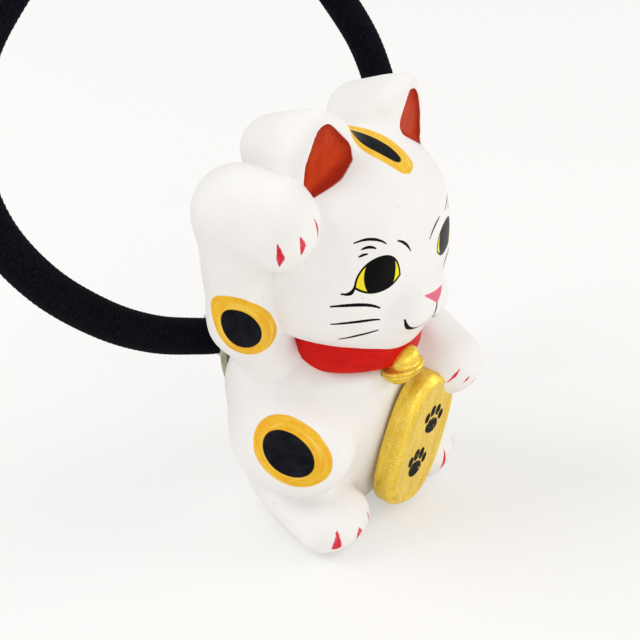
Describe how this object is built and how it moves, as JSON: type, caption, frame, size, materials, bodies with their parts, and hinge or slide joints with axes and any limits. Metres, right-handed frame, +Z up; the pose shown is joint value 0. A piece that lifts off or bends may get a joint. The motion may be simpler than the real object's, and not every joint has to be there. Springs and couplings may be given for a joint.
{
  "type": "beckoning cat hair tie ornament",
  "caption": "Seated beckoning cat ornament with a raised paw, collar, bell and oval plate, glued to a pad that carries a swinging covered elastic loop.",
  "frame": {"origin": "middle of the flat base, on the surface the cat stands on", "axes": "+Z up, -Y the way the cat faces, +X to the cat's left"},
  "size_m": [0.0671, 0.0363, 0.0661],
  "materials": {
    "white_vinyl": "white paint, semi-matte",
    "red_vinyl": "red paint, satin",
    "gold_vinyl": "gold metallic paint",
    "glue": "clear glue",
    "pad_metal": "antique plated",
    "ferrule_metal": "crimped, satin",
    "black_weave": "fine woven cover",
    "rubber_core": "bare rubber strand"
  },
  "bodies": {
    "cat": {"body": "white_vinyl", "head": "white_vinyl", "raised_arm": "white_vinyl", "plate_arm": "white_vinyl", "collar": "red_vinyl", "bell": "gold_vinyl", "oval_plate": "gold_vinyl", "glue_pad": "glue", "back_pad": "pad_metal", "cord_bridge": "pad_metal"},
    "loop": {"ferrule": "ferrule_metal", "elastic_cover": "black_weave", "elastic_core": "rubber_core"}
  },
  "joints": [
    {"name": "loop_swing", "type": "hinge", "parent": "cat", "child": "loop", "pos_m": [0, 0.0133, 0.0175], "axis": [1, 0, 0], "range_deg": [-96, 57]}
  ]
}
